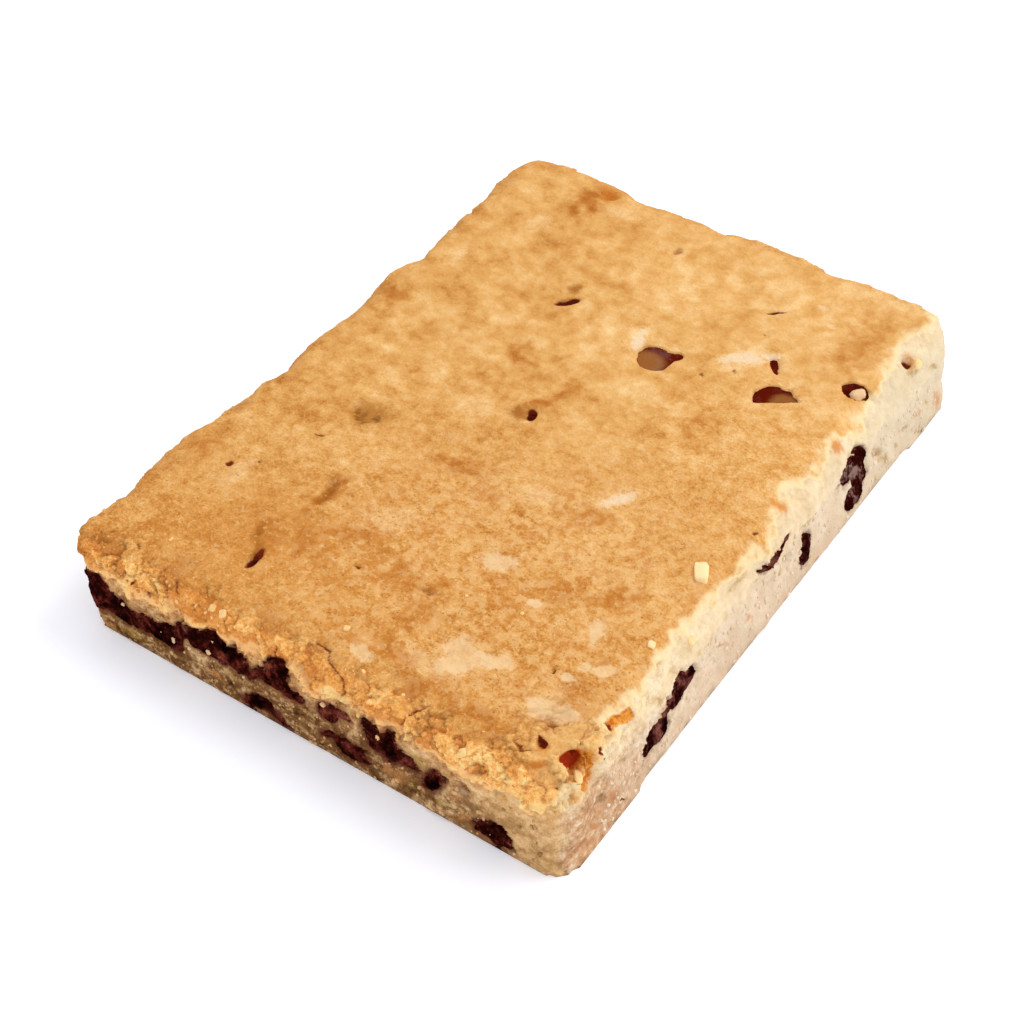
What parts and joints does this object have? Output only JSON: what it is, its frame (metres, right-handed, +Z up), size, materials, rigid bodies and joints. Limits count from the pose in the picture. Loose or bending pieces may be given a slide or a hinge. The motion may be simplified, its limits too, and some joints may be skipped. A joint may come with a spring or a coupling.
{
  "type": "blondie",
  "caption": "Rectangular blondie bar with a golden browned crust, pale dense crumb on its cut sides and dark chocolate chips bared at the cuts and through the crust.",
  "frame": {"origin": "middle of the underside, at the centre of the bounding box", "axes": "+X across the short side, +Y along the long side to the back cut, +Z up through the crust"},
  "size_m": [0.0754, 0.1048, 0.0131],
  "materials": {
    "crumb": "dry baked crumb, golden brown and finely pebbled on top, pale beige and crumbly where cut",
    "chocolate": "dark chocolate, satin where it melted, with a dull bloom"
  },
  "bodies": {
    "root": {"crumb": "crumb", "chip_front_1": "chocolate", "chip_front_2": "chocolate", "chip_front_3": "chocolate", "chip_front_4": "chocolate", "chip_front_5": "chocolate", "chip_front_6": "chocolate", "chip_front_7": "chocolate", "chip_right_1": "chocolate", "chip_right_2": "chocolate", "chip_right_3": "chocolate", "chip_right_4": "chocolate", "chip_back_1": "chocolate", "chip_back_2": "chocolate", "chip_back_3": "chocolate", "chip_back_4": "chocolate", "chip_back_5": "chocolate", "chip_back_6": "chocolate", "chip_left_1": "chocolate", "chip_left_2": "chocolate", "chip_left_3": "chocolate", "chip_left_4": "chocolate", "chip_left_5": "chocolate", "chip_left_6": "chocolate", "chip_left_7": "chocolate", "chip_top_1": "chocolate", "chip_top_2": "chocolate", "chip_top_3": "chocolate", "chip_top_4": "chocolate"}
  },
  "joints": []
}
